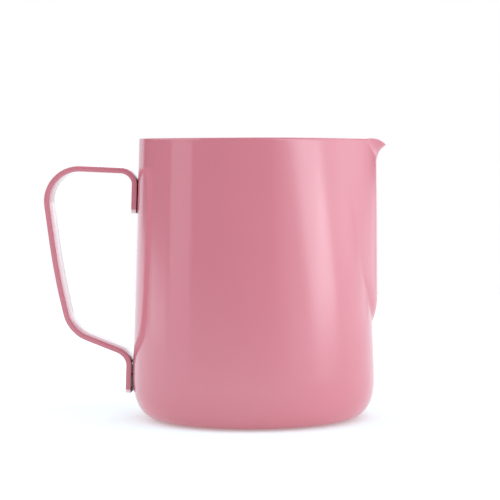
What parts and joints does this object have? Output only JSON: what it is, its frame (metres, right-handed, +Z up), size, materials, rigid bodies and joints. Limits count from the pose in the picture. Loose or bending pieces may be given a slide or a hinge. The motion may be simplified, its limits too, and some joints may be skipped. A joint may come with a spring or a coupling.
{
  "type": "milk frothing pitcher",
  "caption": "Open drawn-steel jug with a leaning wall, rounded base corner, pressed pouring spout and a bent strap handle, for steaming and pouring milk.",
  "frame": {"origin": "on the jug's axis, on the flat underside of its base", "axes": "+Z up along the jug's axis, +X out through the spout, so the handle is on -X"},
  "size_m": [0.1268, 0.09, 0.1038],
  "materials": {
    "jug_coat": "satin pink coat on steel",
    "strap_coat": "satin pink coat on steel",
    "weld_steel": "bare weld steel"
  },
  "bodies": {
    "root": {"jug_body": "jug_coat", "handle_strap": "strap_coat", "upper_weld_top": "weld_steel", "upper_weld_bottom": "weld_steel", "lower_weld_top": "weld_steel", "lower_weld_bottom": "weld_steel"}
  },
  "joints": []
}
